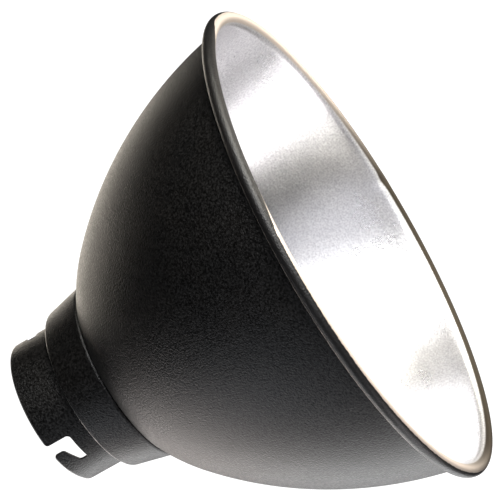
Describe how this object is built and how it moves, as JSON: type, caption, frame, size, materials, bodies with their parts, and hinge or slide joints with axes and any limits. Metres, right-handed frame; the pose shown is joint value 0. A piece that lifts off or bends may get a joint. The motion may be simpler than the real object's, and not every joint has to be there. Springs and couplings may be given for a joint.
{
  "type": "studio flash bowl reflector",
  "caption": "Round spun metal bowl reflector with a rolled lip, black outside and silver inside, on a tapered neck and a bayonet collar with J-shaped pin slots.",
  "frame": {"origin": "centre of the collar's rear end, on the axis of the bowl", "axes": "+Z along the axis, out through the mouth; -Y through the entry of the first pin slot"},
  "size_m": [0.2666, 0.2666, 0.1875],
  "materials": {
    "painted_bowl": "fine black wrinkle paint outside, satin silver inside",
    "painted_ring": "fine black wrinkle paint",
    "painted_collar": "satin black paint",
    "rivet_metal": "plain aluminium",
    "stem_steel": "zinc-plated steel"
  },
  "bodies": {
    "root": {"reflector_bowl": "painted_bowl", "neck_ring": "painted_ring", "bayonet_collar": "painted_collar", "rivet_body_1": "rivet_metal", "rivet_body_2": "rivet_metal", "rivet_body_3": "rivet_metal", "rivet_body_4": "rivet_metal", "rivet_body_5": "rivet_metal", "rivet_body_6": "rivet_metal", "rivet_stem_1": "stem_steel", "rivet_stem_2": "stem_steel", "rivet_stem_3": "stem_steel", "rivet_stem_4": "stem_steel", "rivet_stem_5": "stem_steel", "rivet_stem_6": "stem_steel"}
  },
  "joints": []
}
